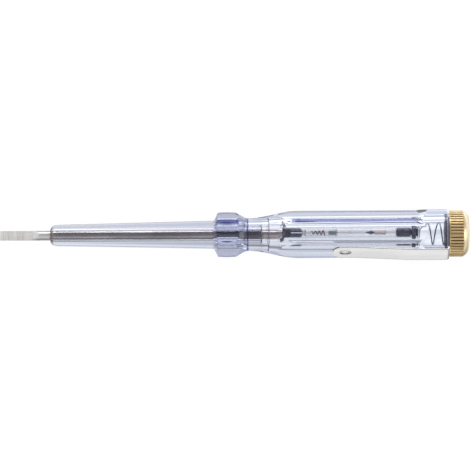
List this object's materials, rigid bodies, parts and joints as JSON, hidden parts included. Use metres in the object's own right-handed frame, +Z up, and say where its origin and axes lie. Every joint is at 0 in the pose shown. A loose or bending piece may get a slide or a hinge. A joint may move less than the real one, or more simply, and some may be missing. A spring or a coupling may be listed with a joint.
{
  "type": "voltage tester",
  "caption": "Screwdriver-type neon voltage tester with a flat blade, clear sleeve and six-sided clear grip, a lamp and spring inside, a pocket clip and a knurled screw cap.",
  "frame": {"origin": "bottom centre of the whole tool as it lies", "axes": "+X along the tool from the blade to the cap, +Z up, the clip towards -Y"},
  "size_m": [0.14, 0.0154, 0.0146],
  "materials": {
    "plated_steel": "satin nickel plate, ground blade",
    "clear_sleeve": "clear, slightly blue, polished",
    "clear_grip": "clear, slightly blue, polished",
    "contact_metal": "satin nickel plate",
    "clear_tube": "clear, smooth",
    "lamp_glass": "clear, smooth",
    "lead_wire": "drawn wire",
    "copper_wire": "drawn copper-coated wire",
    "electrode_metal": "matt drawn sheet",
    "solder": "dull solder",
    "resistor_lacquer": "glossy lacquer",
    "spring_steel": "drawn wire",
    "clip_nickel": "nickel plate, softly polished",
    "cap_brass": "turned and knurled brass"
  },
  "bodies": {
    "tester": {"blade_shaft": "plated_steel", "shaft_sleeve": "clear_sleeve", "grip": "clear_grip", "contact_dish": "contact_metal", "front_ferrule": "contact_metal", "rear_ferrule": "contact_metal", "spring_seat": "contact_metal", "cartridge_tube": "clear_tube", "lamp_glass": "lamp_glass", "lamp_front_leads": "lead_wire", "lamp_rear_lead": "lead_wire", "resistor_lead": "lead_wire", "front_electrode": "copper_wire", "rear_electrode": "electrode_metal", "solder_cone": "solder", "resistor_body": "resistor_lacquer", "clip_ring": "clip_nickel"},
    "spring": {"coil_spring": "spring_steel"},
    "cap": {"brass_cap": "cap_brass"},
    "clip": {"clip_arm": "clip_nickel"}
  },
  "joints": [
    {"name": "cap_travel", "type": "slide", "parent": "tester", "child": "spring", "axis": [1, 0, 0], "range_m": [0, 0.003], "deforming": ["coil_spring"]},
    {"name": "cap_turn", "type": "hinge", "parent": "spring", "child": "cap", "pos_m": [0.067, 0.00039, 0.0073], "axis": [1, 0, 0], "range_deg": [0, 1080]},
    {"name": "clip_flex", "type": "hinge", "parent": "tester", "child": "clip", "pos_m": [0.0633, -0.00636, 0.0112], "axis": [0, 0.5, 0.866], "range_deg": [0, 4], "stiffness_Nm_per_rad": 0.5, "springref_deg": -0.57}
  ],
  "couplings": [
    {"joint": "cap_travel", "follows": "cap_turn", "m_per_rad": 0.00015915}
  ]
}
